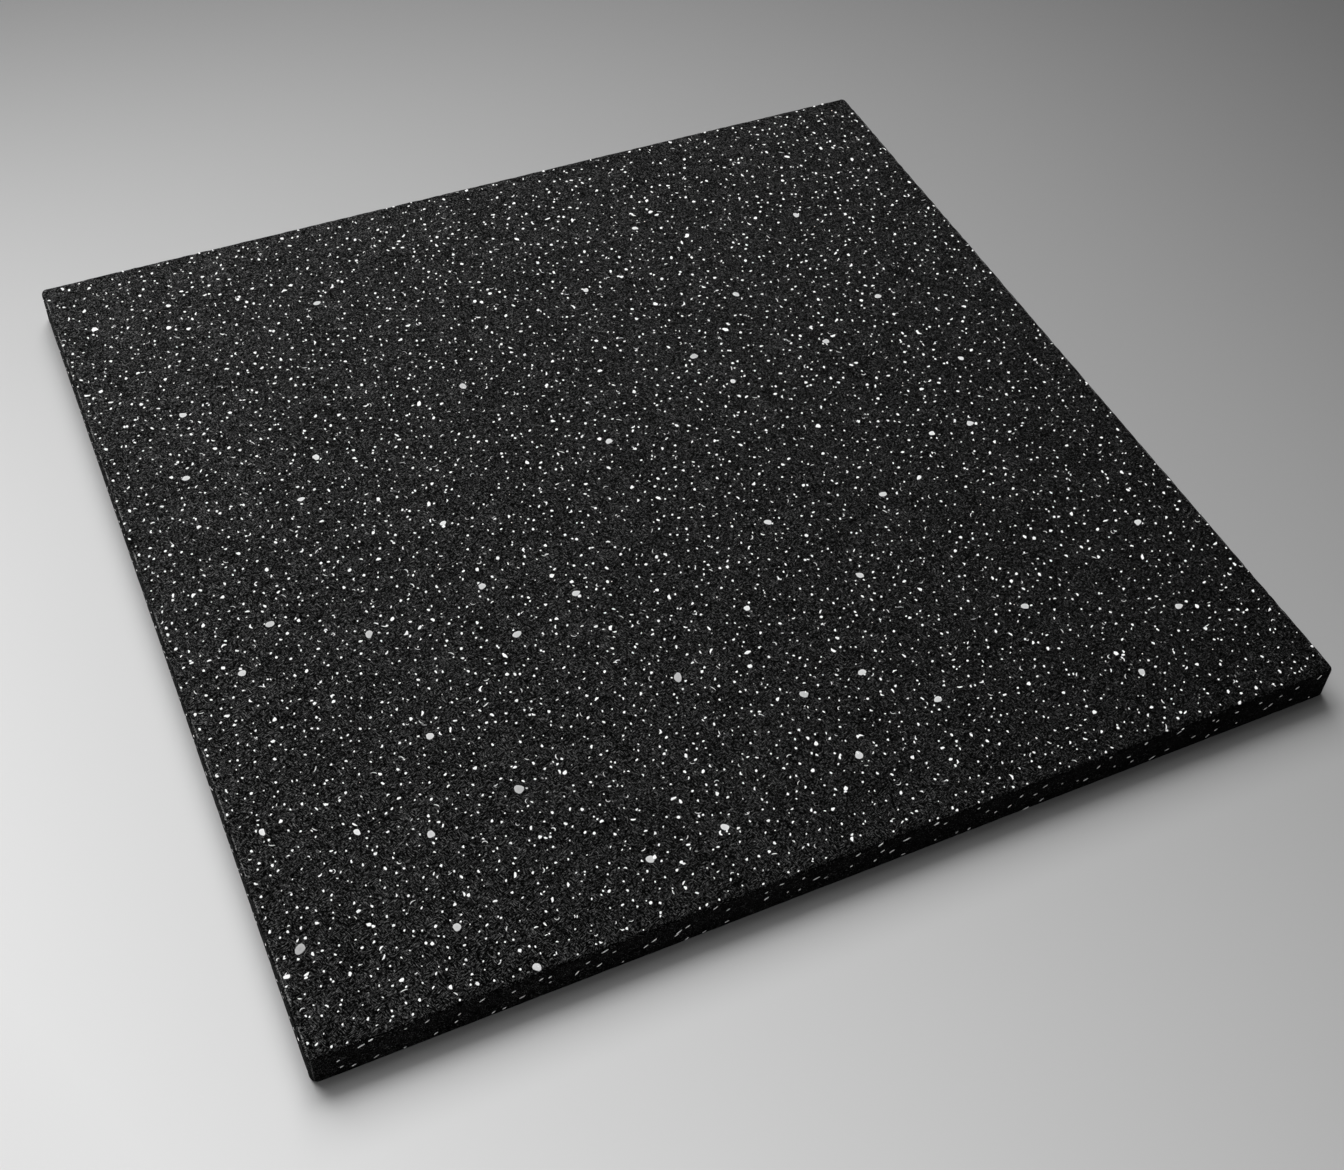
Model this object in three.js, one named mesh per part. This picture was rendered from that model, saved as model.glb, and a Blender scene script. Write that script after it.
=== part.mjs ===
// A square rubber floor mat: one slab of bound black crumb rubber with straight butt edges.
// Millimetres, +Z up. The origin is the middle of the underside, which lies on the floor.
// +X runs along the front edge and +Y away from it.

import * as THREE from "three";

// Driving dimensions
const WIDTH = 500; // along X, over the side faces
const DEPTH = 500; // along Y, over the side faces
const THICKNESS = 20; // underside to tread face
const CORNER_RADIUS = 3.5; // of the four upright corners, seen from above
const EDGE_RADIUS = 1.5; // of the eased edges round the tread face and the underside

// Flats that the eased edges always leave
const LEAST_SIDE_FLAT = 1; // height of the upright band of a side face
const LEAST_TREAD_CORNER_RADIUS = 0.5; // of the corners of the tread face's own outline

// Chords for each quarter turn. An arc of a shape gets two for each of its curve segments.
const CORNER_STEPS = 8;
const EDGE_STEPS = 4;
const CHORDS_PER_CURVE_SEGMENT = 2;

const CRUMB_RUBBER = new THREE.MeshStandardMaterial({
  name: "crumb_rubber",
  color: 0x1e1e1f,
  roughness: 0.92,
  metalness: 0,
});

// The eased edge is held by its wall: two of them share the thickness, and it turns inside the corner.
function easedEdgeRadius() {
  const byThickness = (THICKNESS - LEAST_SIDE_FLAT) / 2;
  const byCorner = CORNER_RADIUS - LEAST_TREAD_CORNER_RADIUS;
  return Math.min(EDGE_RADIUS, byThickness, byCorner);
}

// The mat's outline from above: straight sides joined by quarter circles, anticlockwise.
function matOutline() {
  const x = WIDTH / 2 - CORNER_RADIUS;
  const y = DEPTH / 2 - CORNER_RADIUS;
  const quarter = Math.PI / 2;
  const corners = [
    [x, y],
    [-x, y],
    [-x, -y],
    [x, -y],
  ];
  const outline = new THREE.Shape();
  corners.forEach(([cx, cy], turn) => {
    outline.absarc(cx, cy, CORNER_RADIUS, turn * quarter, (turn + 1) * quarter, false);
  });
  outline.closePath();
  return outline;
}

// The slab: the outline carried up through the thickness, with both rims eased to a quarter circle.
function rubberMat() {
  const eased = easedEdgeRadius();
  const slab = new THREE.ExtrudeGeometry(matOutline(), {
    depth: THICKNESS - 2 * eased,
    curveSegments: CORNER_STEPS / CHORDS_PER_CURVE_SEGMENT,
    bevelEnabled: true,
    bevelThickness: eased,
    bevelSize: eased,
    bevelOffset: -eased,
    bevelSegments: EDGE_STEPS,
  });
  const mat = new THREE.Mesh(slab, CRUMB_RUBBER);
  mat.name = "rubber_mat";
  mat.position.z = eased;
  return mat;
}

const floorMat = new THREE.Group();
floorMat.add(rubberMat());

export default floorMat;
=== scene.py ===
"""A square rubber floor mat: a slab of black crumb rubber flecked with pale chips, on a studio floor.

Every mesh is in metres in the row frame: the origin is the middle of the underside, +X runs along the
front edge, +Y away from it and +Z up out of the tread face.
"""

import logging
import math
from dataclasses import dataclass, fields
from enum import Enum
from functools import reduce

import bpy
import numpy as np
from mathutils import Matrix, Vector
from numpy.typing import NDArray


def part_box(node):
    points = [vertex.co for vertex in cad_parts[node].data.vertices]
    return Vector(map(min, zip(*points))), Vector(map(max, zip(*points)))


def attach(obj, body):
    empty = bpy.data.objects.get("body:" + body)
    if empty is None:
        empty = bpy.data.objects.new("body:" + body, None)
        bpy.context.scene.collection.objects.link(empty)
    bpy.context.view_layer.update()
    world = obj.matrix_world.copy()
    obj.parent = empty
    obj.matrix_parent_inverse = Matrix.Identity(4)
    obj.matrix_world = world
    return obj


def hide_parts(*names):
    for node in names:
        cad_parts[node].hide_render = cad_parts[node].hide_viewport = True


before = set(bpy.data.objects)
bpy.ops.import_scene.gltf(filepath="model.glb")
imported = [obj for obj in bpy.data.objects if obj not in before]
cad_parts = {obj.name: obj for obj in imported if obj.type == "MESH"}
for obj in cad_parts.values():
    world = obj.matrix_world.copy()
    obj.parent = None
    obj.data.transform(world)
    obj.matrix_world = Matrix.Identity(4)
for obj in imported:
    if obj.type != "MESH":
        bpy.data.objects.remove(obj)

LOG = logging.getLogger("floor_mat")

Floats = NDArray[np.float64]
Ints = NDArray[np.int64]
Chance = np.random.Generator
Piece = bpy.types.Object
Socket = bpy.types.NodeSocket

MM = 0.001
QUARTER = math.pi / 2
FULL_TURN = 2 * math.pi
BELL_BASE = math.exp(-0.5)  # to the power of a squared distance in spreads, it draws a bell curve
MIDDLE = 0.5  # of a ramp, and of noise or chance between 0 and 1
LEAST_RAY = 1e-12  # in place of a length of nothing, which can't be divided by
EDGE_RADIUS = 1.5 * MM
CORNER_RADIUS = 3.5 * MM
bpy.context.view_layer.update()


# Smooth random patterns


WORD = 2**32
AXIS_FACTORS = (2654435761, 2246822519, 3266489917)
SEED_FACTOR = 668265263
MIXING = ((15, 739982445), (12, 695872825))
LAST_SHIFT = 15


def scattered(place: Ints, seed: int) -> Floats:
    """Give each whole-number place in space its own value between -1 and 1.

    The three numbers are multiplied by large odd numbers, joined by exclusive-or and mixed by shifts.

    Args:
        place: Whole numbers, with x, y and z along the last axis.
        seed: Chooses one of many patterns.

    Returns:
        One value for each place.
    """
    x, y, z = (place[..., axis].astype(np.uint32) * np.uint32(AXIS_FACTORS[axis]) for axis in range(3))
    mixed = x ^ y ^ z ^ np.uint32(seed * SEED_FACTOR % WORD)
    for shift, factor in MIXING:
        mixed ^= mixed >> np.uint32(shift)
        mixed *= np.uint32(factor)
    mixed ^= mixed >> np.uint32(LAST_SHIFT)
    return mixed / (WORD / 2) - 1


@dataclass(frozen=True)
class SmoothNoise:
    """A smooth random pattern over space, with values between -1 and 1.

    The corners of a cubic lattice hold scattered values, and a point blends the eight corners round it,
    with weights 3t^2 - 2t^3 along each axis.
    """

    cell: float
    seed: int

    def at(self, points: Floats) -> Floats:
        """Give the pattern's values.

        Args:
            points: Places, with x, y and z along the last axis.

        Returns:
            One value for each point.
        """
        scaled = points / self.cell
        low = np.floor(scaled).astype(np.int64)
        part = scaled - low
        ease = part * part * (3 - 2 * part)
        total = np.zeros(points.shape[:-1])
        for corner in np.ndindex(2, 2, 2):
            step = np.array(corner)
            weight = np.prod(np.where(step == 1, ease, 1 - ease), axis=-1)
            total += weight * scattered(low + step, self.seed)
        return total


# Meshes


def round_rim(grid: NDArray) -> NDArray:
    """Give a grid's outermost entries in order, anticlockwise from its first corner."""
    return np.concatenate([grid[0, :-1], grid[:-1, -1], grid[-1, :0:-1], grid[:0:-1, 0]])


def link_mesh(name: str, vertices: Floats, faces: list[list[int]], smooth: bool) -> Piece:
    """Make a mesh object at the origin and put it in the scene.

    Args:
        name: The piece's name.
        vertices: One row of x, y and z for each vertex.
        faces: The vertex numbers of each face, anticlockwise from outside.
        smooth: Whether the faces are shaded smooth.

    Returns:
        The new object.
    """
    mesh = bpy.data.meshes.new(name)
    mesh.from_pydata(vertices, [], faces)
    mesh.polygons.foreach_set("use_smooth", np.full(len(mesh.polygons), smooth))
    mesh.update()
    piece = bpy.data.objects.new(name, mesh)
    bpy.context.scene.collection.objects.link(piece)
    return piece


def link_copies(name: str, points: Floats, faces: list[Ints], shades: Floats) -> Piece:
    """Join many lumps of the same build into one piece, each with its own shades.

    Args:
        name: The piece's name.
        points: The places, as lumps by points of a lump by three.
        faces: The faces of one lump, in one array for each number of corners.
        shades: The shade of each point, as lumps by points of a lump.

    Returns:
        The piece.
    """
    count, stride = points.shape[:2]
    first = np.arange(count)[:, None, None] * stride
    every = []
    for group in faces:
        every += (first + group[None]).reshape(-1, group.shape[-1]).tolist()
    piece = link_mesh(name, points.reshape(-1, 3), every, False)
    shade = piece.data.attributes.new("shade", "FLOAT", "POINT")
    shade.data.foreach_set("value", shades.ravel().astype(np.float32))
    return piece


def report(piece: Piece) -> None:
    """Log a piece's name and its number of triangles."""
    triangles = sum(len(face.vertices) - 2 for face in piece.data.polygons)
    LOG.info("%s: %d triangles", piece.name, triangles)


# Node trees


@dataclass
class NodeBoard:
    """A material's or room's nodes, with short calls that add one and link it.

    A socket argument is either another node's output or a plain value.
    """

    tree: bpy.types.NodeTree

    def add(self, kind: str, settings: dict[str, object] | None = None, **inputs: object) -> bpy.types.Node:
        """Add a node and fill its inputs.

        Args:
            kind: The node's type name.
            settings: Properties of the node, by name.
            **inputs: Values or outputs for its sockets, by name, with _ for each space.

        Returns:
            The new node.
        """
        node = self.tree.nodes.new(kind)
        for name, value in (settings or {}).items():
            setattr(node, name, value)
        for name, value in inputs.items():
            self.fill(node.inputs[name.replace("_", " ")], value)
        return node

    def fill(self, socket: Socket, value: object) -> None:
        """Give a socket its value.

        Args:
            socket: The socket.
            value: An output to link to it, or a plain value to set it to.
        """
        if isinstance(value, Socket):
            self.tree.links.new(value, socket)
        else:
            socket.default_value = value

    def maths(
        self, operation: str, *values: object, kind: str = "ShaderNodeMath", **settings: object
    ) -> Socket:
        """Work out one number from others, or one vector from others.

        Args:
            operation: The node's operation.
            *values: Its inputs, in order.
            kind: The node's type name.
            **settings: Its other properties, such as use_clamp, which holds a number between 0 and 1.

        Returns:
            The result's socket.
        """
        node = self.add(kind, {"operation": operation, **settings})
        for socket, value in zip(node.inputs, values):
            self.fill(socket, value)
        return node.outputs[0]

    def weighed(self, *shares: tuple[object, object], base: object = 0.0) -> Socket:
        """Add up numbers, each times its own weight, on top of a base."""
        return reduce(lambda total, share: self.maths("MULTIPLY_ADD", *share, total), shares, base)

    def sharpened(self, value: object, sharpness: float) -> Socket:
        """Steepen a number's change about its middle, one half, and hold it between 0 and 1."""
        return self.maths("MULTIPLY_ADD", value, sharpness, (1 - sharpness) / 2, use_clamp=True)

    def scaled(self, vector: object, factor: object) -> Socket:
        """Multiply a vector or a colour by one number."""
        node = self.add("ShaderNodeVectorMath", {"operation": "SCALE"}, Vector=vector, Scale=factor)
        return node.outputs["Vector"]

    def millimetres(self) -> Socket:
        """Give the object's own coordinates in millimetres."""
        return self.scaled(self.add("ShaderNodeTexCoord").outputs["Object"], 1 / MM)

    def drawn_out(self, place: object, angle: float, stretch: float) -> Socket:
        """Draw a pattern out by the stretch along a direction that is turned about Z by the angle."""
        sizes = {"Rotation": (0, 0, angle), "Scale": (stretch, 1, 1)}
        return self.add("ShaderNodeMapping", {"vector_type": "TEXTURE"}, Vector=place, **sizes).outputs[0]

    def noise(self, place: object, cell: float, detail: float = 0.0) -> bpy.types.Node:
        """Add a noise texture whose lumps are about one cell across, in millimetres."""
        return self.add("ShaderNodeTexNoise", Vector=place, Scale=1 / cell, Detail=detail)

    def crumbs(self, place: object, cell: float) -> bpy.types.Node:
        """Add a Voronoi texture whose cells are about one cell across, in millimetres."""
        return self.add("ShaderNodeTexVoronoi", {"feature": "F1"}, Vector=place, Scale=1 / cell)

    def parts(self, colour: object) -> tuple[Socket, ...]:
        """Give a colour's three parts as numbers."""
        node = self.add("ShaderNodeSeparateColor", Color=colour)
        return tuple(node.outputs)

    def ramp(self, value: object, stops: tuple[tuple[float, float], ...]) -> Socket:
        """Turn a number into a grey by a row of stops.

        Args:
            value: The number, between 0 and 1.
            stops: Place and grey of each stop, in order.

        Returns:
            The colour's socket.
        """
        node = self.add("ShaderNodeValToRGB", Fac=value)
        elements = node.color_ramp.elements
        while len(elements) < len(stops):
            elements.new(MIDDLE)
        for element, (place, grey) in zip(elements, stops):
            element.position = place
            element.color = (grey, grey, grey, 1)
        return node.outputs["Color"]


def blank_material(name: str) -> tuple[bpy.types.Material, bpy.types.Node, NodeBoard]:
    """Make a material.

    Args:
        name: The material's name.

    Returns:
        The material, its Principled shader and a board to add nodes with.
    """
    material = bpy.data.materials.new(name)
    material.use_nodes = True
    shader = material.node_tree.nodes["Principled BSDF"]
    return material, shader, NodeBoard(material.node_tree)


@dataclass(frozen=True)
class CrumbRubberFinish:
    """Matt black crumb rubber: a felt of fine curved strands in many dark greys. Sizes are in millimetres.

    Two sets of drawn-out noise lie across each other, and which of them shows changes over the mat. A
    tone x gives the grey m (1 + c (x - 1/2))^p, with m the middle grey, c the contrast and p the eye's
    power, so that equal steps of tone look equal. The upright side faces and the rims' rounding next to them
    are painted darker, as painted shade, and the lines where the flats turn over at the left and right rims
    are pale in places, partly wear and partly a painted highlight. The grey is multiplied by a share that
    changes evenly over the mat, higher to the back left, as a painted sheen.
    """

    half: float
    height: float
    edge_radius: float
    strand_cell: float = 0.38
    strand_detail: float = 1.0
    strand_stretch: float = 3.6
    strand_angles: tuple[float, float] = (math.radians(20), math.radians(110))
    sweep_cell: float = 4.0
    sweep_sharpness: float = 7.0
    bend_cell: float = 2.6
    bend_detail: float = 1.0
    bend: float = 1.0
    grain_cell: float = 2.2
    grain_share: float = 0.03
    dust_cell: float = 0.3
    dust_share: float = 0.12
    patch_cell: float = 15.0
    patch_detail: float = 2.0
    patch_share: float = 0.07
    middle_grey: float = 0.0054
    contrast: float = 15.3
    eye_power: float = 2.2
    least_level: float = 0.05
    rim_drop: float = 0.36
    side_fade: float = 0.6
    # painted shade: how much darker the side faces are made
    painted_side_shade: float = 0.05
    rim_width: float = 0.45
    rim_cell: float = 7.0
    rim_sharpness: float = 6.0
    # partly wear, partly a painted highlight along the left and right rims
    rim_wear_and_highlight: float = 0.2
    # painted sheen: the rubber's grey is scaled up evenly towards the back left
    painted_sheen: float = 0.81
    painted_sheen_across: float = -0.0010
    painted_sheen_along: float = 0.0008
    stops: tuple[float, ...] = (0.4, 0.435, 0.465, 0.5, 0.54, 0.59, 0.66, 0.8)
    roughness: float = 0.62
    roughness_spread: float = 0.2
    bump_depth: float = 0.3 * MM
    grain_bump: float = 0.2
    dust_bump: float = 0.5
    gloss: float = 0.012

    def grey(self, tone: float) -> float:
        """Give the grey of a tone, by the formula above, and never quite black."""
        level = max(self.least_level, 1 + self.contrast * (tone - MIDDLE))
        return self.middle_grey * level**self.eye_power

    def strands(self, board: NodeBoard, place: object, bent: object) -> Socket:
        """Blend the two sets of strands.

        Args:
            board: The material's board.
            place: The plain coordinates, for the slow change from one set to the other.
            bent: The bent coordinates, for the strands themselves.

        Returns:
            The strands' level, about 0.5 on average.
        """
        levels = []
        for angle in self.strand_angles:
            drawn = board.drawn_out(bent, angle, self.strand_stretch)
            levels.append(board.noise(drawn, self.strand_cell, self.strand_detail).outputs["Fac"])
        lying, standing = levels
        turn = board.sharpened(board.noise(place, self.sweep_cell).outputs["Fac"], self.sweep_sharpness)
        return board.maths("MULTIPLY_ADD", board.maths("SUBTRACT", standing, lying), turn, lying)

    def side_shade_share(self, board: NodeBoard, z: object) -> Socket:
        """Mark the upright side faces and the rims' rounding next to them, where shade is painted.

        Args:
            board: The material's board.
            z: The height above the underside.

        Returns:
            1 on the side faces and 0 on the tread face and the underside.
        """
        steep = 1 / self.side_fade
        above = board.maths("MULTIPLY_ADD", z, steep, -self.rim_drop * steep, use_clamp=True)
        below = board.maths("MULTIPLY_ADD", z, -steep, (self.height - self.rim_drop) * steep, use_clamp=True)
        return board.maths("MULTIPLY", above, below)

    def rim_share(self, board: NodeBoard, place: object, x: object) -> Socket:
        """Mark the pale parts of the lines where a flat turns over at its left and right rims: wear and
        painted highlight.

        Args:
            board: The material's board.
            place: The coordinates.
            x: The coordinate across the mat.

        Returns:
            1 on the pale parts and 0 elsewhere.
        """
        off = board.maths("SUBTRACT", board.maths("ABSOLUTE", x), self.half - self.edge_radius)
        off = board.maths("ABSOLUTE", off)
        line = board.maths("MULTIPLY_ADD", off, -1 / self.rim_width, 1.0, use_clamp=True)
        # breaks the line into pale spots: partly wear, partly painted highlight
        worn = board.sharpened(board.noise(place, self.rim_cell).outputs["Fac"], self.rim_sharpness)
        return board.maths("MULTIPLY", line, worn)

    def make(self) -> bpy.types.Material:
        """Build the material.

        Returns:
            The material.
        """
        material, shader, board = blank_material("crumb_rubber_grain")
        place = board.millimetres()
        x, y, z = board.add("ShaderNodeSeparateXYZ", Vector=place).outputs
        bend = board.noise(place, self.bend_cell, self.bend_detail).outputs["Color"]
        bent = board.maths("MULTIPLY_ADD", bend, (self.bend,) * 3, place, kind="ShaderNodeVectorMath")
        strand = self.strands(board, place, bent)
        grains = board.crumbs(bent, self.grain_cell)
        grain_tone, grain_rough, grain_level = board.parts(grains.outputs["Color"])[:3]
        dust = board.noise(place, self.dust_cell).outputs["Fac"]
        patches = board.noise(place, self.patch_cell, self.patch_detail).outputs["Fac"]
        shares = ((grain_tone, self.grain_share), (dust, self.dust_share), (patches, self.patch_share))
        base = -sum(share for _, share in shares) * MIDDLE
        marks = (
            # painted shade: the side faces and the rounding above them are darkened
            (self.side_shade_share(board, z), -self.painted_side_shade),
            # partly wear, partly a painted highlight along the rims
            (self.rim_share(board, place, x), self.rim_wear_and_highlight),
        )
        tone = board.weighed((strand, 1.0), *shares, *marks, base=base)
        stops = tuple((stop, self.grey(stop)) for stop in self.stops)
        # painted sheen: a share that rises towards the back left multiplies the grey
        painted_sheen = board.weighed((x, self.painted_sheen_across), (y, self.painted_sheen_along), base=self.painted_sheen)
        board.fill(shader.inputs["Base Color"], board.scaled(board.ramp(tone, stops), painted_sheen))
        rough = board.maths("MULTIPLY_ADD", grain_rough, self.roughness_spread, self.roughness)
        board.fill(shader.inputs["Roughness"], rough)
        height = board.weighed((grain_level, self.grain_bump), (dust, self.dust_bump), (strand, 1.0))
        bump = board.add("ShaderNodeBump", Height=height, Distance=self.bump_depth, Strength=1.0)
        board.fill(shader.inputs["Normal"], bump.outputs["Normal"])
        shader.inputs["Specular IOR Level"].default_value = self.gloss
        return material


@dataclass(frozen=True)
class ChipFinish:
    """Pale rubber of the chips: each has its own shade, with fine pits and a few grey smears."""

    name: str
    dark: float
    light: float
    pit_cell: float = 0.45
    pit_share: float = 0.14
    pit_depth: float = 0.05 * MM
    pit_strength: float = 0.5
    smear_cell: float = 2.5
    smear_share: float = 0.12
    detail: float = 2.0
    roughness: float = 0.55
    roughness_spread: float = 0.2
    gloss: float = 0.3

    def make(self) -> bpy.types.Material:
        """Build the material.

        Returns:
            The material.
        """
        material, shader, board = blank_material(self.name)
        place = board.millimetres()
        shade = board.add("ShaderNodeAttribute", {"attribute_name": "shade"}).outputs["Fac"]
        pits = board.noise(place, self.pit_cell, self.detail).outputs["Fac"]
        smears = board.noise(place, self.smear_cell, self.detail).outputs["Fac"]
        base = -(self.pit_share + self.smear_share) * MIDDLE
        marks = board.weighed((pits, self.pit_share), (smears, self.smear_share), base=base)
        tone = board.maths("ADD", marks, shade, use_clamp=True)
        board.fill(shader.inputs["Base Color"], board.ramp(tone, ((0.0, self.dark), (1.0, self.light))))
        rough = board.maths("MULTIPLY_ADD", pits, self.roughness_spread, self.roughness)
        board.fill(shader.inputs["Roughness"], rough)
        bump = board.add("ShaderNodeBump", Height=pits, Distance=self.pit_depth, Strength=self.pit_strength)
        board.fill(shader.inputs["Normal"], bump.outputs["Normal"])
        shader.inputs["Specular IOR Level"].default_value = self.gloss
        return material


@dataclass(frozen=True)
class PaperFinish:
    """The studio floor's paper, with a painted pool of light: palest at the front left, and greyer away from
    it.

    The grey falls off from the pool's middle as a bell curve with its own spread along X and along Y,
    and the middle itself is cut off flat at the palest grey. Past a line behind the pool it falls off
    once more, as a bell curve of the distance from the line. Far from the mat, past all that the photo
    shows, it eases to one plain grey. Sizes are in millimetres.
    """

    # the painted pool of light: its middle, its spreads and its falloff past a line behind it
    light_pool_x: float = -1032.0
    light_pool_y: float = -736.0
    spread_x: float = 865.0
    spread_y: float = 1226.0
    far_line: float = 99.0
    far_turn: float = math.radians(7.6)
    far_spread: float = 461.0
    light_pool_peak: float = 1.095
    palest: float = 0.72
    plain_from: float = 705.0
    plain_past: float = 1250.0
    plain: float = 0.7
    roughness: float = 0.9
    gloss: float = 0.1

    def make(self) -> bpy.types.Material:
        """Build the material.

        Returns:
            The material.
        """
        material, shader, board = blank_material("studio_paper")
        place = board.millimetres()
        x, y, _ = board.add("ShaderNodeSeparateXYZ", Vector=place).outputs
        far = board.weighed((x, -math.sin(self.far_turn)), (y, math.cos(self.far_turn)), base=-self.far_line)
        offs = (
            board.maths("MULTIPLY_ADD", x, 1 / self.spread_x, -self.light_pool_x / self.spread_x),
            board.maths("MULTIPLY_ADD", y, 1 / self.spread_y, -self.light_pool_y / self.spread_y),
            board.maths("MULTIPLY", board.maths("MAXIMUM", far, 0.0), 1 / self.far_spread),
        )
        # painted pool of light: the grey falls off as a bell curve from the front left and past the far line
        bell = board.maths("POWER", BELL_BASE, board.weighed(*((off, off) for off in offs)))
        grey = board.maths("MINIMUM", board.maths("MULTIPLY", bell, self.light_pool_peak), self.palest)
        ease = board.add(
            "ShaderNodeMapRange",
            {"interpolation_type": "SMOOTHSTEP"},
            Value=board.add("ShaderNodeVectorMath", {"operation": "LENGTH"}, Vector=place).outputs["Value"],
            From_Min=self.plain_from,
            From_Max=self.plain_past,
            To_Min=grey,
            To_Max=self.plain,
        )
        board.fill(shader.inputs["Base Color"], ease.outputs["Result"])
        shader.inputs["Roughness"].default_value = self.roughness
        shader.inputs["Specular IOR Level"].default_value = self.gloss
        return material


# The slab


@dataclass
class RubberSlab:
    """The slab itself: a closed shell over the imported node, with a crumbly surface and worn rims.

    The tread face and the underside are square grids whose corners are drawn in to an arc. Between them
    a profile goes round the rim: down a quarter circle, down the side face and in under the mat.
    """

    low: Vector
    high: Vector
    corner_radius: float = CORNER_RADIUS
    edge_radius: float = EDGE_RADIUS
    rim_zone: float = 6 * MM
    rim_cell: float = 0.667 * MM
    tread_cell: float = 2.1 * MM
    side_rows: int = 8
    top_arc_rows: int = 4
    bottom_arc_rows: int = 3
    least_relief: float = 0.05 * MM
    relief: float = 0.11 * MM
    coarse: SmoothNoise = SmoothNoise(4.4 * MM, 11)
    coarse_share: float = 0.55
    fine: SmoothNoise = SmoothNoise(2.3 * MM, 12)
    fine_share: float = 0.45
    rim_wear: float = 0.45 * MM
    wear_reach: float = 2.2 * MM
    bites: SmoothNoise = SmoothNoise(3.1 * MM, 13)
    spells: SmoothNoise = SmoothNoise(23 * MM, 14)
    spell_share: float = 0.6

    @property
    def half(self) -> float:
        """Half the mat's width."""
        return (self.high.x - self.low.x) / 2

    def lines(self) -> Floats:
        """Place the grid's lines across the tread face, closer together near the rims.

        Returns:
            The lines' places from the middle.
        """
        reach = self.half - self.edge_radius
        inner = reach - self.rim_zone
        rim_steps = round(self.rim_zone / self.rim_cell)
        inner_steps = 2 * round(inner / self.tread_cell)
        rim = np.linspace(inner, reach, rim_steps + 1)[1:]
        return np.concatenate([-rim[::-1], np.linspace(-inner, inner, inner_steps + 1), rim])

    def core_of(self, flat: Floats) -> Floats:
        """Give the nearest place inside the square that joins the middles of the corner arcs."""
        reach = self.half - self.corner_radius
        return np.clip(flat, -reach, reach)

    def face_grid(self) -> Floats:
        """Lay the grid over a square whose corners are rounded.

        A point past the corner's centre is moved along its own ray from that centre, by the larger of
        its two offsets over the length of the ray, so nested squares become nested arcs.

        Returns:
            The x and y of each grid point, with rows along Y.
        """
        lines = self.lines()
        flat = np.stack(np.meshgrid(lines, lines), axis=-1)
        core = self.core_of(flat)
        out = flat - core
        ray = np.maximum(np.hypot(out[..., 0], out[..., 1]), LEAST_RAY)
        return core + out * (np.abs(out).max(axis=-1) / ray)[..., None]

    def profile(self) -> tuple[Floats, Floats, Floats]:
        """Give the rim's profile below the tread face: a quarter circle, the side and a quarter circle.

        Returns:
            How far out from the flat's edge each row stands, its height, and the tilt of its normal from
            straight up.
        """
        radius = self.edge_radius
        shoulder = self.high.z - self.low.z - radius
        top = np.linspace(0, QUARTER, self.top_arc_rows + 1)[1:]
        side = np.linspace(shoulder, radius, self.side_rows + 1)[1:-1]
        bottom = np.linspace(QUARTER, 2 * QUARTER, self.bottom_arc_rows + 1)[:-1]
        tilt = np.concatenate([top, np.full(len(side), QUARTER), bottom])
        height = np.concatenate([shoulder + np.cos(top) * radius, side, radius + np.cos(bottom) * radius])
        return np.sin(tilt) * radius, height, tilt

    def rim_rings(self, edge: Floats) -> tuple[Floats, Floats]:
        """Carry the profile round the edge of the flat.

        Each row is the edge moved out along its own outward direction, which is the ray from the
        corner's centre on an arc and square to the side elsewhere.

        Args:
            edge: The x and y of the flat's outermost points, in order.

        Returns:
            The places and the outward normals, as rows by points by three.
        """
        outward = edge - self.core_of(edge)
        outward /= np.linalg.norm(outward, axis=-1, keepdims=True)
        out, height, tilt = self.profile()
        shape = (len(out), len(edge), 1)
        flat = edge[None] + outward[None] * out[:, None, None]
        places = np.concatenate([flat, np.broadcast_to(height[:, None, None], shape)], -1)
        sideways = outward[None] * np.sin(tilt)[:, None, None]
        normals = np.concatenate([sideways, np.broadcast_to(np.cos(tilt)[:, None, None], shape)], -1)
        return places, normals

    def worn(self, points: Floats, normals: Floats) -> Floats:
        """Press the plain surface in to a crumbly one that stays inside the mat's box.

        The depth is a small floor plus two scales of smooth noise for the crumbs. Near the top rim a
        third noise, squared so that most of the rim stays whole, bites crumbs away, and more of them
        where a fourth and slower noise is high.

        Args:
            points: Places on the plain surface.
            normals: The outward normal at each of them.

        Returns:
            The moved points.
        """
        coarse, fine = self.coarse.at(points), self.fine.at(points)
        depth = self.least_relief + self.relief * (1 + self.coarse_share * coarse + self.fine_share * fine)
        from_side = (self.half - np.abs(points[:, :2]).max(axis=-1)) / self.wear_reach
        from_top = (self.high.z - points[:, 2]) / self.wear_reach
        near = np.exp(-(from_side**2) - from_top**2)
        bites = (1 + self.bites.at(points)) / 2
        spells = (1 + self.spells.at(points)) / 2
        depth += near * self.rim_wear * (bites**2 + self.spell_share * spells * bites)
        return points - normals * depth[:, None]

    def underside_faces(self, under: Ints) -> list[list[int]]:
        """Face the underside at half the tread face's fineness.

        Every second line of the grid is kept. A face at the edge also takes the point between its two
        outer corners, so that it meets the finer rim without a gap. Each side is treated as the first
        row of the grid turned by quarter turns.

        Args:
            under: The numbers of the underside's grid points.

        Returns:
            The faces, anticlockwise from below.
        """
        whole = under[2:-2:2, 2:-2:2]
        inner = np.stack([whole[:-1, :-1], whole[1:, :-1], whole[1:, 1:], whole[:-1, 1:]], -1)
        faces = inner.reshape(-1, 4).tolist()
        for turn in range(4):
            side = np.rot90(under, turn)
            outer, between, second = side[0, 2:-2:2], side[0, 3:-3:2], side[2, 2:-2:2]
            edge = np.stack([outer[:-1], second[:-1], second[1:], outer[1:], between], -1)
            faces += edge.tolist()
            corner = ((0, 0), (1, 0), (2, 0), (2, 2), (0, 2), (0, 1))
            faces.append([int(side[place]) for place in corner])
        return faces

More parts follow.
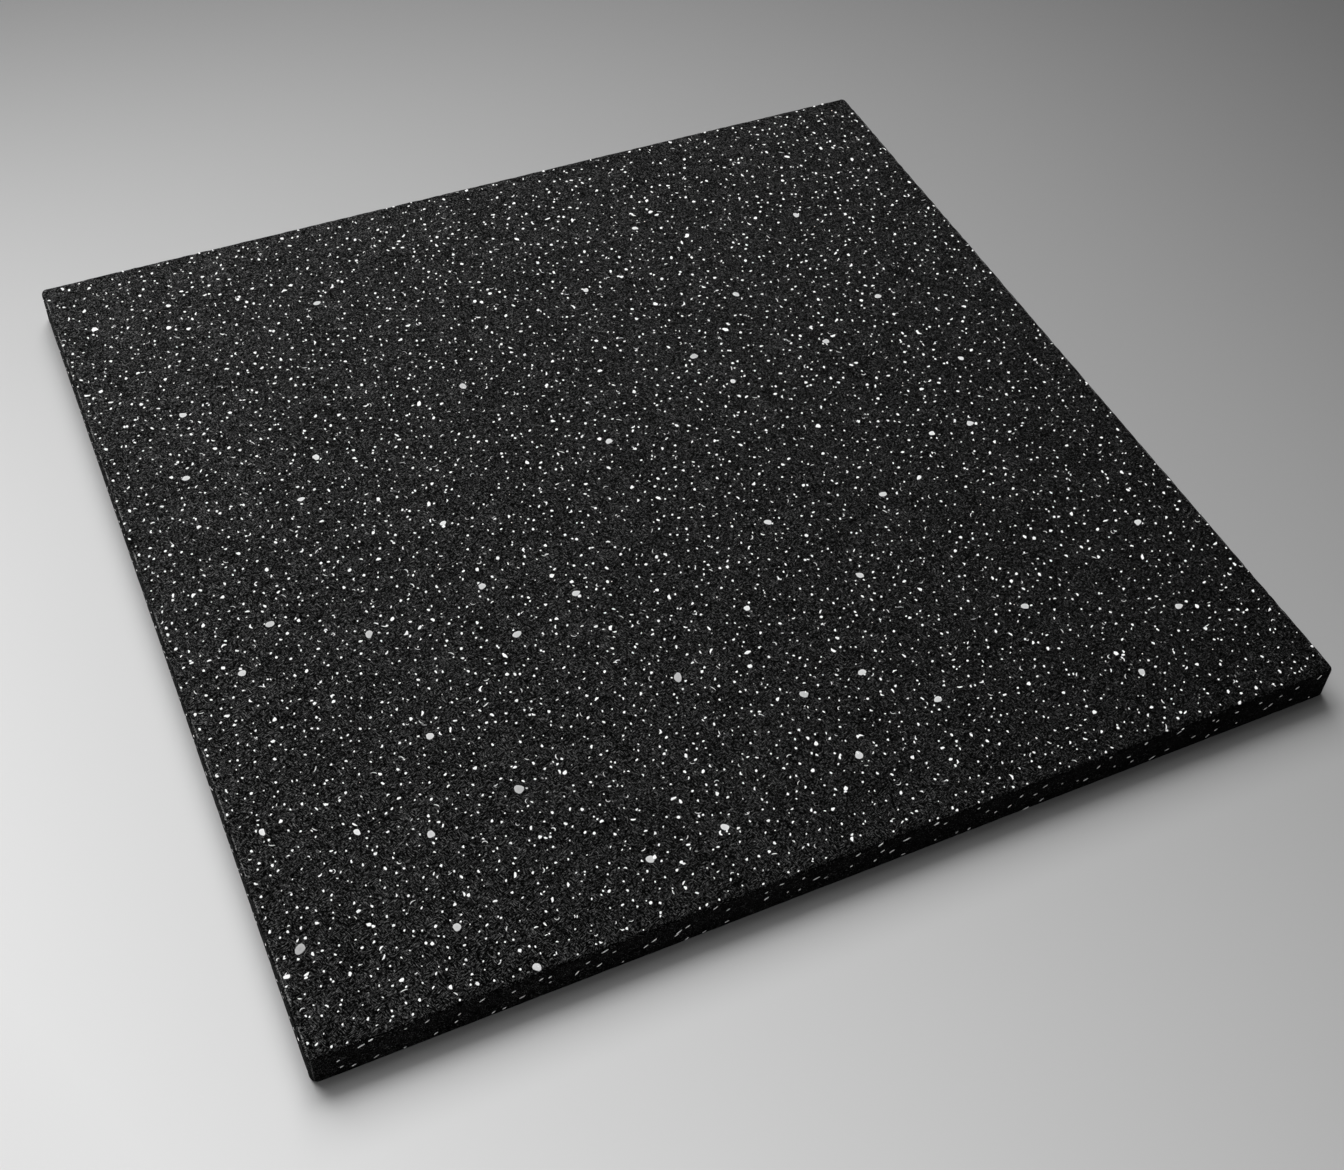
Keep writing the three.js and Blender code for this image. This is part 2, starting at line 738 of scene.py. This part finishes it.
    def build(self) -> Piece:
        """Make the slab's mesh.

        Returns:
            The slab.
        """
        grid = self.face_grid()
        rings, ring_normals = self.rim_rings(round_rim(grid))
        flat = grid.reshape(-1, 2)
        top = np.column_stack([flat, np.full(len(flat), self.high.z)])
        bottom = np.column_stack([flat, np.full(len(flat), self.low.z)])
        up = np.tile([0.0, 0.0, 1.0], (len(flat), 1))
        points = np.concatenate([top, rings.reshape(-1, 3), bottom])
        normals = np.concatenate([up, ring_normals.reshape(-1, 3), -up])
        numbers = np.arange(len(flat)).reshape(grid.shape[:2])
        belt = len(top) + np.arange(rings[..., 0].size).reshape(rings.shape[:2])
        under = numbers + len(points) - len(bottom)
        belt = np.concatenate([round_rim(numbers)[None], belt, round_rim(under)[None]])
        following = np.roll(belt, -1, axis=1)
        wall = np.stack([belt[:-1], belt[1:], following[1:], following[:-1]], -1)
        tread = np.stack([numbers[:-1, :-1], numbers[:-1, 1:], numbers[1:, 1:], numbers[1:, :-1]], -1)
        faces = tread.reshape(-1, 4).tolist() + wall.reshape(-1, 4).tolist() + self.underside_faces(under)
        corners = np.concatenate(faces)
        used = np.zeros(len(points), dtype=bool)
        used[corners] = True
        renumber = np.cumsum(used) - 1
        faces = [renumber[face].tolist() for face in faces]
        return link_mesh("rubber_slab", self.worn(points[used], normals[used]), faces, True)


# The chips


class MatFace(Enum):
    """A face of the mat, as the directions across it, up it and out of it."""

    TREAD = ((1, 0, 0), (0, 1, 0), (0, 0, 1))
    UNDERSIDE = ((1, 0, 0), (0, -1, 0), (0, 0, -1))
    FRONT = ((1, 0, 0), (0, 0, 1), (0, -1, 0))
    RIGHT = ((0, 1, 0), (0, 0, 1), (1, 0, 0))
    BACK = ((-1, 0, 0), (0, 0, 1), (0, 1, 0))
    LEFT = ((0, -1, 0), (0, 0, 1), (-1, 0, 0))


SIDE_FACES = (MatFace.FRONT, MatFace.RIGHT, MatFace.BACK, MatFace.LEFT)


@dataclass
class Wrap:
    """The mat's plain surface, as a place to lay flat shapes on: each face with its rims turned over."""

    low: Vector
    high: Vector
    edge_radius: float = EDGE_RADIUS

    def lay(self, face: MatFace, flat: Floats, depth: Floats | float) -> Floats:
        """Carry flat places onto a face, bending them over its rim.

        Past the face's flat the place runs on round the eased edge: at an arc length s past it, the
        point has gone out by r sin(s/r) and down by r (1 - cos(s/r)), and its depth is along the normal.

        Args:
            face: The face.
            flat: Places across and up the face, from its middle.
            depth: How deep each lies under the plain surface.

        Returns:
            Places in the row frame.
        """
        across, up, out = (np.array(axis, dtype=float) for axis in face.value)
        half = np.array(self.high - self.low) / 2
        middle = np.array(self.high + self.low) / 2
        reach = np.array([abs(across @ half), abs(up @ half)]) - self.edge_radius
        over = np.clip(np.abs(flat) - reach, 0, QUARTER * self.edge_radius)
        angle = over / self.edge_radius
        level = self.edge_radius - np.broadcast_to(depth, flat.shape[:-1])
        drop = self.edge_radius - level * np.cos(angle.max(axis=-1))
        place = np.sign(flat) * (np.minimum(np.abs(flat), reach) + level[..., None] * np.sin(angle))
        height = abs(out @ half) - drop
        return middle + out * height[..., None] + across * place[..., :1] + up * place[..., 1:]


@dataclass
class Flecks:
    """Flecks that lie in a face: one row of each array to a fleck, in the face's own flat measure.

    A fleck's turn is anticlockwise from the face's own across direction. Its bend is how far its ends
    stand off a straight line: a share of its half length on a chip, an angle in radians on a shaving.
    """

    centre: Floats
    half_long: Floats
    half_wide: Floats
    bend: Floats
    turn: Floats
    shade: Floats
    lump: Floats

    def kept(self, keep: NDArray[np.bool_]) -> "Flecks":
        """Give the flecks that are marked to be kept."""
        return Flecks(*(getattr(self, part.name)[keep] for part in fields(self)))


def turned(along: Floats, across: Floats, turn: Floats) -> Floats:
    """Turn flat shapes, each by its own angle, and join the two measures into places."""
    cos, sin = np.cos(turn)[:, None], np.sin(turn)[:, None]
    return np.stack([along * cos - across * sin, along * sin + across * cos], -1)


@dataclass
class ChipMaker:
    """Makes chips: low, closed, irregular lumps that are sunk in the rubber to their rims."""

    wrap: Wrap
    rng: Chance
    rim_depth: float = 0.32 * MM
    shoulder_depth: float = 0.06 * MM
    crown_depth: float = 0.03 * MM
    root_depth: float = 0.9 * MM
    shoulder: float = 0.85
    crown_dimming: float = 0.0
    side_play: float = 0.36
    waves: tuple[tuple[int, float], ...] = ((2, 0.6), (3, 0.8), (4, 0.5))

    def outlines(self, flecks: Flecks, sides: int) -> Floats:
        """Draw each chip's outline about its own middle.

        The radius is 1 plus two, three and four waves round the turn, from chance starts. It is
        stretched to the chip's length and width, bent like a bow by the square of the place along it,
        and turned.

        Args:
            flecks: The chips.
            sides: Points round an outline.

        Returns:
            The points, as chips by sides by two.
        """
        count = len(flecks.turn)
        start = self.rng.uniform(0, FULL_TURN, (count, len(self.waves), 1))
        step = FULL_TURN / sides
        play = self.rng.uniform(-self.side_play, self.side_play, (count, sides))
        angle = np.arange(sides) * step + play * step
        waves = sum(
            height * np.cos(number * angle + start[:, at]) for at, (number, height) in enumerate(self.waves)
        )
        radius = 1 + flecks.lump[:, None] * waves
        along = flecks.half_long[:, None] * radius * np.cos(angle)
        across = flecks.half_wide[:, None] * radius * np.sin(angle)
        bow = along**2 / flecks.half_long[:, None] - flecks.half_long[:, None] / 2
        return turned(along, across + flecks.bend[:, None] * bow, flecks.turn)

    def build(self, name: str, batches: dict[MatFace, Flecks], sides: int) -> Piece:
        """Join the chips of some faces into one piece.

        Each chip has a root, a rim, a shoulder and a crown: two single points and two rings between.

        Args:
            name: The piece's name.
            batches: The chips on each face.
            sides: Points round a chip.

        Returns:
            The piece.
        """
        points, shades = [], []
        for face, flecks in batches.items():
            outline = self.outlines(flecks, sides)
            centre = flecks.centre[:, None]
            levels = (
                (centre, self.root_depth),
                (centre + outline, self.rim_depth),
                (centre + outline * self.shoulder, self.shoulder_depth),
                (centre, self.crown_depth),
            )
            rings = [self.wrap.lay(face, flat, depth) for flat, depth in levels]
            points.append(np.concatenate(rings, axis=1))
            shade = np.repeat(flecks.shade[:, None], 2 + 2 * sides, axis=1)
            shade[:, -1] -= self.crown_dimming
            shades.append(shade)
        ring = np.arange(sides)
        after = np.roll(ring, -1)
        rim, shoulder = 1, 1 + sides
        root, crown = np.zeros_like(ring), np.full_like(ring, 1 + 2 * sides)
        cone = np.stack([root, rim + after, rim + ring], -1)
        slope = np.stack([rim + ring, rim + after, shoulder + after, shoulder + ring], -1)
        cap = np.stack([shoulder + ring, shoulder + after, crown], -1)
        return link_copies(name, np.concatenate(points), [cone, slope, cap], np.concatenate(shades))


@dataclass
class ShavingMaker:
    """Makes shavings: thin curled strips, sunk in the rubber, with a low ridge along the middle."""

    wrap: Wrap
    stations: int = 6
    rim_depth: float = 0.22 * MM
    crown_depth: float = 0.03 * MM
    end_width: float = 0.5

    def build(self, name: str, batches: dict[MatFace, Flecks]) -> Piece:
        """Join the shavings of some faces into one piece.

        The middle line is an arc of the shaving's length that turns through its bend. The half width
        is the full one times e + (1 - e) sin(pi t), where e is the share that is left at the ends.

        Args:
            name: The piece's name.
            batches: The shavings on each face.

        Returns:
            The piece.
        """
        share = np.linspace(0, 1, self.stations)
        width = self.end_width + (1 - self.end_width) * np.sin(math.pi * share)
        points = []
        for face, flecks in batches.items():
            bend = flecks.bend[:, None]
            radius = 2 * flecks.half_long[:, None] / bend
            heading = (share - MIDDLE) * bend
            half = flecks.half_wide[:, None] * width
            rows = []
            for side, depth in ((1, self.rim_depth), (0, self.crown_depth), (-1, self.rim_depth)):
                along = radius * np.sin(heading) - side * half * np.sin(heading)
                across = radius * (1 - np.cos(heading)) + side * half * np.cos(heading)
                flat = flecks.centre[:, None] + turned(along, across, flecks.turn)
                rows.append(self.wrap.lay(face, flat, depth))
            points.append(np.stack(rows, axis=2).reshape(len(bend), -1, 3))
        shade = np.concatenate([flecks.shade for flecks in batches.values()])
        row = np.arange(3)
        after = np.roll(row, -1)
        first = np.arange(self.stations - 1)[:, None] * 3
        skin = np.stack([first + row, first + after, first + 3 + after, first + 3 + row], -1).reshape(-1, 4)
        last = 3 * (self.stations - 1)
        ends = np.array([[0, 2, 1], [last, last + 1, last + 2]])
        shades = np.repeat(shade[:, None], 3 * self.stations, axis=1)
        return link_copies(name, np.concatenate(points), [skin, ends], shades)


# The kinds of flecks


@dataclass(frozen=True)
class Even:
    """An even chance between two values."""

    low: float
    high: float

    def draw(self, rng: Chance, count: int) -> Floats:
        """Draw some values."""
        return rng.uniform(self.low, self.high, count)


@dataclass(frozen=True)
class EitherSide(Even):
    """An even chance between two values, on one side of nothing or on the other."""

    def draw(self, rng: Chance, count: int) -> Floats:
        """Draw some values."""
        return super().draw(rng, count) * rng.choice([-1, 1], count)


@dataclass(frozen=True)
class Bell:
    """A bell-curve chance about a middle, clipped to a range."""

    middle: float
    spread: float
    least: float = -math.inf
    most: float = math.inf

    def draw(self, rng: Chance, count: int) -> Floats:
        """Draw some values."""
        return np.clip(rng.normal(self.middle, self.spread, count), self.least, self.most)


@dataclass(frozen=True)
class Bed:
    """The part of a face that flecks are strewn over, and the chance that strews them."""

    rng: Chance
    width: float
    height: float

    def places(self, density: float) -> Floats:
        """Spread points evenly by chance: one at a chance place in each cell of a grid.

        Args:
            density: Points on each square metre.

        Returns:
            Places from the face's middle.
        """
        cell = 1 / math.sqrt(density)
        columns = max(1, round(self.width / cell))
        rows = max(1, round(self.height / cell))
        low = np.stack(np.meshgrid(np.arange(columns), np.arange(rows)), -1).reshape(-1, 2)
        share = (low + self.rng.uniform(0, 1, low.shape)) / (columns, rows)
        return (share - MIDDLE) * (self.width, self.height)


GREAT = 2.5 * MM  # half of a large chip's size, as are the next two
BROAD = 2.2 * MM
MIDDLING = 1.7 * MM


@dataclass(frozen=True, kw_only=True)
class FleckKind:
    """A kind of fleck: how many to a square metre, and the chances that its measures are drawn from."""

    density: float
    half_long: Even | None = None
    half_wide: Even | None = None
    bend: Even = Even(-0.3, 0.3)
    turn: Even | Bell = Even(0, FULL_TURN)
    shade: Even | Bell
    shade_power: float = 1.0
    lump: Even | None = None

    def shaped(self, rng: Chance, centre: Floats, half_long: Floats, half_wide: Floats) -> Flecks:
        """Bend, turn and shade flecks of given sizes by chance.

        Args:
            rng: The chance.
            centre: The flecks' places.
            half_long: Half of their lengths.
            half_wide: Half of their widths.

        Returns:
            The flecks.
        """
        count = len(centre)
        bend, turn, shade = (chance.draw(rng, count) for chance in (self.bend, self.turn, self.shade))
        lump = self.lump.draw(rng, count) if self.lump else np.zeros(count)
        return Flecks(centre, half_long, half_wide, bend, turn, shade**self.shade_power, lump)

    def sizes(self, rng: Chance, count: int) -> tuple[Floats, Floats]:
        """Draw half lengths and half widths, each from its own chance."""
        return self.half_long.draw(rng, count), self.half_wide.draw(rng, count)

    def strewn(self, bed: Bed) -> Flecks:
        """Strew flecks of this kind over a bed."""
        centre = bed.places(self.density)
        return self.shaped(bed.rng, centre, *self.sizes(bed.rng, len(centre)))


@dataclass(frozen=True, kw_only=True)
class Grains(FleckKind):
    """Small lumps, each some times as long as it is wide."""

    slimness: Even

    def sizes(self, rng: Chance, count: int) -> tuple[Floats, Floats]:
        """Draw half widths, and half lengths as so many times the half widths."""
        half_wide = self.half_wide.draw(rng, count)
        return half_wide * self.slimness.draw(rng, count), half_wide


@dataclass(frozen=True, kw_only=True)
class SmallChips(FleckKind):
    """The small pale chips: drawn out along one slant, a few of them long, and larger towards the back.

    A chip's middle size is multiplied by e to the power of its spread. Its length is the size times the
    root of its stretch, and its width is the size over that root.
    """

    density: float = 29500.0
    size: float = 0.575 * MM
    spread: Bell = Bell(0, 0.3)
    growth: float = 0.08
    stretch: Bell = Bell(0, 0.42)
    fullness: float = 1.08
    long_share: float = 0.12
    long_stretch: Even = Even(1.8, 3.2)
    long_bend: float = 2.2
    turn: Bell = Bell(math.radians(62), 0.75)
    shade: Bell = Bell(0.98, 0.08, 0.35, 1)
    lump: Even = Even(0.06, 0.17)

    def strewn(self, bed: Bed) -> Flecks:
        """Strew the chips.

        Args:
            bed: Where they lie.

        Returns:
            The chips.
        """
        rng, centre = bed.rng, bed.places(self.density)
        count = len(centre)
        size = self.size * np.exp(self.spread.draw(rng, count))
        size *= 1 + self.growth * 2 * centre[:, 1] / bed.height
        stretch = 1 + np.abs(self.stretch.draw(rng, count))
        long_ones = rng.uniform(size=count) < self.long_share
        root = np.sqrt(np.where(long_ones, self.long_stretch.draw(rng, count), stretch))
        chips = self.shaped(rng, centre, size * root * self.fullness, size / root)
        chips.bend *= np.where(long_ones, self.long_bend, 1)
        return chips


@dataclass(frozen=True, kw_only=True)
class LargeChips(FleckKind):
    """The large flat chips: the larger, the greyer."""

    density: float = 190.0
    stretch: Even = Even(1.0, 1.25)
    bend: Even = Even(-0.1, 0.1)
    turn: Even = Even(0, math.pi)
    shade: Even = Even(-0.07, 0.07)
    greyest: float = 0.3
    shade_range: float = 0.42
    lump: Even = Even(0.05, 0.12)

    def laid(self, rng: Chance, centre: Floats, half_size: Floats) -> Flecks:
        """Lay a chip at each of some places.

        Args:
            rng: The chance that shapes them.
            centre: The places.
            half_size: Half of each chip's size.

        Returns:
            The chips.
        """
        smallness = (GREAT - half_size) / (GREAT - MIDDLING)
        stretch = self.stretch.draw(rng, len(centre))
        chips = self.shaped(rng, centre, half_size * stretch, half_size / stretch)
        chips.shade += self.greyest + self.shade_range * smallness
        return chips


SMALL_CHIPS = SmallChips()
LARGE_CHIPS = LargeChips()
CRUMBS = Grains(
    density=5200.0,
    half_wide=Even(0.22 * MM, 0.42 * MM),
    slimness=Even(1.1, 2.2),
    shade=Even(0, 1),
    lump=Even(0.04, 0.15),
    shade_power=1.6,
)
STREAKS = Grains(
    density=9000.0,
    half_wide=Even(0.25 * MM, 0.46 * MM),
    slimness=Even(1.6, 5.0),
    bend=Even(-0.08, 0.08),
    turn=Bell(math.radians(30), 0.2),
    shade=Bell(1.0, 0.2, 0.3, 1),
    lump=Even(0.03, 0.1),
)
DIM_SHAVINGS = FleckKind(
    density=7000.0,
    bend=EitherSide(0.3, 3.2),
    half_long=Even(0.5 * MM, 1.3 * MM),
    half_wide=Even(0.11 * MM, 0.2 * MM),
    shade=Even(0.15, 0.9),
)
BRIGHT_SHAVINGS = FleckKind(
    density=1900.0,
    bend=EitherSide(0.3, 3.2),
    half_long=Even(0.8 * MM, 1.7 * MM),
    half_wide=Even(0.24 * MM, 0.36 * MM),
    shade=Even(0.65, 1.0),
)


# The studio


@dataclass
class PhotoCamera:
    """The camera that took the photo, solved from the mat's corners and outline."""

    image_width: float = 1344
    image_height: float = 1170
    focal_pixels: float = 1872
    centre_column: float = 705.8
    centre_row: float = 539.2
    place: tuple[float, float, float] = (-0.2787, -0.6124, 0.7008)
    aim: tuple[float, float, float] = (0.3125, 0.5987, -0.7375)
    lean: float = 0.0427
    sensor: float = 36.0
    nearest: float = 0.01
    farthest: float = 100

    def axes(self) -> tuple[Vector, Vector, Vector]:
        """Work out how the camera is held.

        Returns:
            Its own right, up and forward directions.
        """
        forward = Vector(self.aim).normalized()
        level = forward.cross(Vector((0, 0, 1))).normalized()
        upright = level.cross(forward)
        tilt = math.asin(self.lean / upright.z)
        right = level * math.cos(tilt) + upright * math.sin(tilt)
        return right, right.cross(forward), forward

    def on_level(self, column: float, row: float, height: float) -> Vector:
        """Find the place that the photo shows at a pixel.

        Args:
            column: The pixel's column.
            row: The pixel's row.
            height: The place's height.

        Returns:
            The place in the row frame.
        """
        right, up, forward = self.axes()
        sideways = right * (column - self.centre_column)
        ray = forward * self.focal_pixels + sideways - up * (row - self.centre_row)
        return Vector(self.place) + ray * ((height - self.place[2]) / ray.z)

    def build(self) -> Piece:
        """Make the camera and make it the scene's own.

        Returns:
            The camera.
        """
        data = bpy.data.cameras.new("photo_camera")
        data.sensor_width = self.sensor
        data.lens = self.focal_pixels / self.image_width * self.sensor
        data.shift_x = (self.image_width / 2 - self.centre_column) / self.image_width
        data.shift_y = (self.centre_row - self.image_height / 2) / self.image_width
        data.clip_start = self.nearest
        data.clip_end = self.farthest
        right, up, forward = self.axes()
        turn = Matrix((right, up, -forward)).transposed().to_4x4()
        camera = bpy.data.objects.new("photo_camera", data)
        camera.matrix_world = Matrix.Translation(self.place) @ turn
        bpy.context.scene.collection.objects.link(camera)
        bpy.context.scene.camera = camera
        return camera


@dataclass(frozen=True)
class SoftBox:
    """A large soft light behind the mat, facing it from its own elevation."""

    name: str
    elevation: float
    x: float
    width: float
    length: float
    power: float
    distance: float = 4.0

    def hang(self) -> Piece:
        """Make the light.

        Returns:
            The light.
        """
        data = bpy.data.lights.new(self.name, "AREA")
        data.shape = "RECTANGLE"
        data.size = self.width
        data.size_y = self.length
        data.energy = self.power
        light = bpy.data.objects.new(self.name, data)
        aim = Vector((0, -math.cos(self.elevation), -math.sin(self.elevation)))
        light.location = Vector((self.x, 0, 0)) - aim * self.distance
        light.rotation_mode = "QUATERNION"
        light.rotation_quaternion = aim.to_track_quat("-Z", "Y")
        light.visible_camera = False
        bpy.context.scene.collection.objects.link(light)
        return light


@dataclass
class Studio:
    """A pale paper floor with a painted pool of light, under two soft boxes, in a dim room with a low white
    wall round it.
    """

    floor_half: float = 20.0
    boxes: tuple[SoftBox, ...] = (
        SoftBox("back_box", math.radians(50.8), x=-0.196, width=3.64, length=3.07, power=189.5),
        SoftBox("top_box", math.radians(70.2), x=-0.096, width=2.05, length=2.7, power=48.0),
    )
    wall_top: float = 0.17
    wall_grey: float = 1.1
    ceiling_start: float = 0.34
    ceiling_grey: float = 0.068

    def floor(self) -> Piece:
        """Make the floor.

        Returns:
            The floor.
        """
        reach = self.floor_half
        corners = np.array([[-reach, -reach, 0], [reach, -reach, 0], [reach, reach, 0], [-reach, reach, 0]])
        floor = link_mesh("studio_floor", corners, [[0, 1, 2, 3]], False)
        floor.data.materials.append(PaperFinish().make())
        return floor

    def room(self) -> None:
        """Put the mat in a room that is white up to a low height and dim above it."""
        world = bpy.data.worlds.new("room")
        world.use_nodes = True
        board = NodeBoard(world.node_tree)
        direction = board.add("ShaderNodeTexCoord").outputs["Generated"]
        height = board.add("ShaderNodeSeparateXYZ", Vector=direction).outputs["Z"]
        stops = ((self.wall_top, self.wall_grey), (self.ceiling_start, self.ceiling_grey))
        board.fill(world.node_tree.nodes["Background"].inputs["Color"], board.ramp(height, stops))
        bpy.context.scene.world = world

    def build(self) -> None:
        """Make the floor, the lights and the room."""
        self.floor()
        for box in self.boxes:
            box.hang()
        self.room()
        bpy.context.scene.view_settings.view_transform = "Standard"


# The whole mat


@dataclass(frozen=True)
class SeenChip:
    """A large chip of the tread face, at the pixel where the photo shows its middle."""

    column: float
    row: float
    half_size: float = 2.0 * MM


SEEN_CHIPS = (
    SeenChip(317, 303), SeenChip(463, 386, BROAD), SeenChip(183, 415), SeenChip(586, 290, MIDDLING),
    SeenChip(694, 356, BROAD), SeenChip(796, 215), SeenChip(878, 296), SeenChip(736, 294),
    SeenChip(733, 381, MIDDLING), SeenChip(635, 228, MIDDLING), SeenChip(826, 341), SeenChip(609, 441),
    SeenChip(316, 457), SeenChip(186, 478), SeenChip(301, 499, MIDDLING), SeenChip(443, 523, MIDDLING),
    SeenChip(517, 634, BROAD), SeenChip(270, 624, BROAD), SeenChip(242, 673), SeenChip(369, 634, BROAD),
    SeenChip(482, 586), SeenChip(576, 593), SeenChip(678, 677, GREAT), SeenChip(768, 522),
    SeenChip(883, 494), SeenChip(860, 575), SeenChip(970, 423), SeenChip(1138, 522), SeenChip(1025, 606),
    SeenChip(804, 694, BROAD), SeenChip(862, 672), SeenChip(938, 699), SeenChip(747, 608, MIDDLING),
    SeenChip(859, 755, BROAD), SeenChip(519, 789, GREAT), SeenChip(430, 736), SeenChip(300, 949, GREAT),
    SeenChip(457, 927), SeenChip(431, 834), SeenChip(357, 832, MIDDLING), SeenChip(262, 832, MIDDLING),
    SeenChip(650, 859), SeenChip(725, 827), SeenChip(1142, 672),
    SeenChip(537, 967), SeenChip(961, 358, MIDDLING), SeenChip(932, 433, MIDDLING), SeenChip(1179, 606),
)


@dataclass
class FloorMat:
    """The dressed mat: the slab and everything that is bound into it."""

    low: Vector
    high: Vector
    camera: PhotoCamera
    thinning: tuple[float, float] = (0.08, 0.09)
    tread_sides: int = 7
    underside_sides: int = 5
    large_sides: int = 12
    large_crown_dimming: float = 0.1
    streak_sides: int = 8
    inset: float = 1.5 * MM
    end_margin: float = 4.5 * MM
    corner_margin: float = 4 * MM
    seed: int = 365

    def __post_init__(self) -> None:
        """Set up the chance, the surface to lay flecks on and the flecks' finishes."""
        self.rng = np.random.default_rng(self.seed)
        self.wrap = Wrap(self.low, self.high)
        self.pale = ChipFinish("pale_rubber", dark=0.2, light=0.92).make()
        self.grey = ChipFinish("grey_rubber", dark=0.03, light=0.32).make()

    @property
    def width(self) -> float:
        """The mat's width."""
        return self.high.x - self.low.x

    @property
    def large_bed(self) -> Bed:
        """The part of a large face that holds flecks."""
        broad = self.width - 2 * self.inset
        return Bed(self.rng, broad, broad)

    def dress(self, piece: Piece, material: bpy.types.Material) -> None:
        """Finish a piece and ride it on the mat's one body.

        Args:
            piece: The piece.
            material: Its material.
        """
        piece.data.materials.append(material)
        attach(piece, "root")
        report(piece)

    def clear_of_corners(self, flecks: Flecks) -> Flecks:
        """Leave out the flecks of a large face that would reach past its rounded corners."""
        near = np.abs(flecks.centre) > self.width / 2 - self.corner_margin
        return flecks.kept(~near.all(axis=-1))

    def seen_large_chips(self) -> Flecks:
        """Put the large chips of the tread face where the photo shows them."""
        seen = [self.camera.on_level(chip.column, chip.row, self.high.z).xy for chip in SEEN_CHIPS]
        return LARGE_CHIPS.laid(self.rng, np.array(seen), np.array([chip.half_size for chip in SEEN_CHIPS]))

    def hidden_large_chips(self) -> Flecks:
        """Spread as many large chips over the underside by chance."""
        places = self.large_bed.places(LARGE_CHIPS.density)
        return LARGE_CHIPS.laid(self.rng, places, self.rng.choice([MIDDLING, BROAD, GREAT], len(places)))

    def thinned(self, flecks: Flecks) -> Flecks:
        """Leave out flecks by chance, more and more of them to the right and to the back."""
        share = (1 + 2 * flecks.centre / self.width) @ np.array(self.thinning)
        return flecks.kept(self.rng.uniform(size=len(share)) > share)

    def strew(self, face: MatFace, name: str, sides: int) -> None:
        """Strew one large face with chips, crumbs and shavings.

        Args:
            face: The face.
            name: The face's part of the pieces' names.
            sides: Points round a chip.
        """
        bed = self.large_bed
        chip_maker, shaving_maker = ChipMaker(self.wrap, self.rng), ShavingMaker(self.wrap)
        chips = self.thinned(self.clear_of_corners(SMALL_CHIPS.strewn(bed)))
        self.dress(chip_maker.build(f"pale_chips_{name}", {face: chips}, sides), self.pale)
        crumbs = self.clear_of_corners(CRUMBS.strewn(bed))
        self.dress(chip_maker.build(f"grey_crumbs_{name}", {face: crumbs}, sides), self.grey)
        dim = self.clear_of_corners(DIM_SHAVINGS.strewn(bed))
        self.dress(shaving_maker.build(f"grey_shavings_{name}", {face: dim}), self.grey)
        bright = self.clear_of_corners(BRIGHT_SHAVINGS.strewn(bed))
        self.dress(shaving_maker.build(f"pale_shavings_{name}", {face: bright}), self.pale)

    def build(self) -> None:
        """Make every piece of the mat."""
        height = self.high.z - self.low.z
        slab = RubberSlab(self.low, self.high).build()
        rubber = CrumbRubberFinish(self.width / 2 / MM, height / MM, EDGE_RADIUS / MM)
        self.dress(slab, rubber.make())
        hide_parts("rubber_mat")
        self.strew(MatFace.TREAD, "tread", self.tread_sides)
        self.strew(MatFace.UNDERSIDE, "underside", self.underside_sides)
        large_maker = ChipMaker(self.wrap, self.rng, crown_dimming=self.large_crown_dimming)
        large = {MatFace.TREAD: self.seen_large_chips(), MatFace.UNDERSIDE: self.hidden_large_chips()}
        self.dress(large_maker.build("large_chips", large, self.large_sides), self.pale)
        chip_maker = ChipMaker(self.wrap, self.rng)
        bed = Bed(self.rng, self.width - 2 * self.end_margin, height - 2 * self.inset)
        streaks = {face: STREAKS.strewn(bed) for face in SIDE_FACES}
        side_streaks = chip_maker.build("pale_streaks_sides", streaks, self.streak_sides)
        self.dress(side_streaks, self.pale)


def main() -> None:
    """Build the studio and the mat, in order."""
    logging.basicConfig(level=logging.INFO, format="%(message)s")
    camera = PhotoCamera()
    camera.build()
    Studio().build()
    low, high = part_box("rubber_mat")
    FloorMat(low, high, camera).build()


if __name__ == "__main__":
    main()
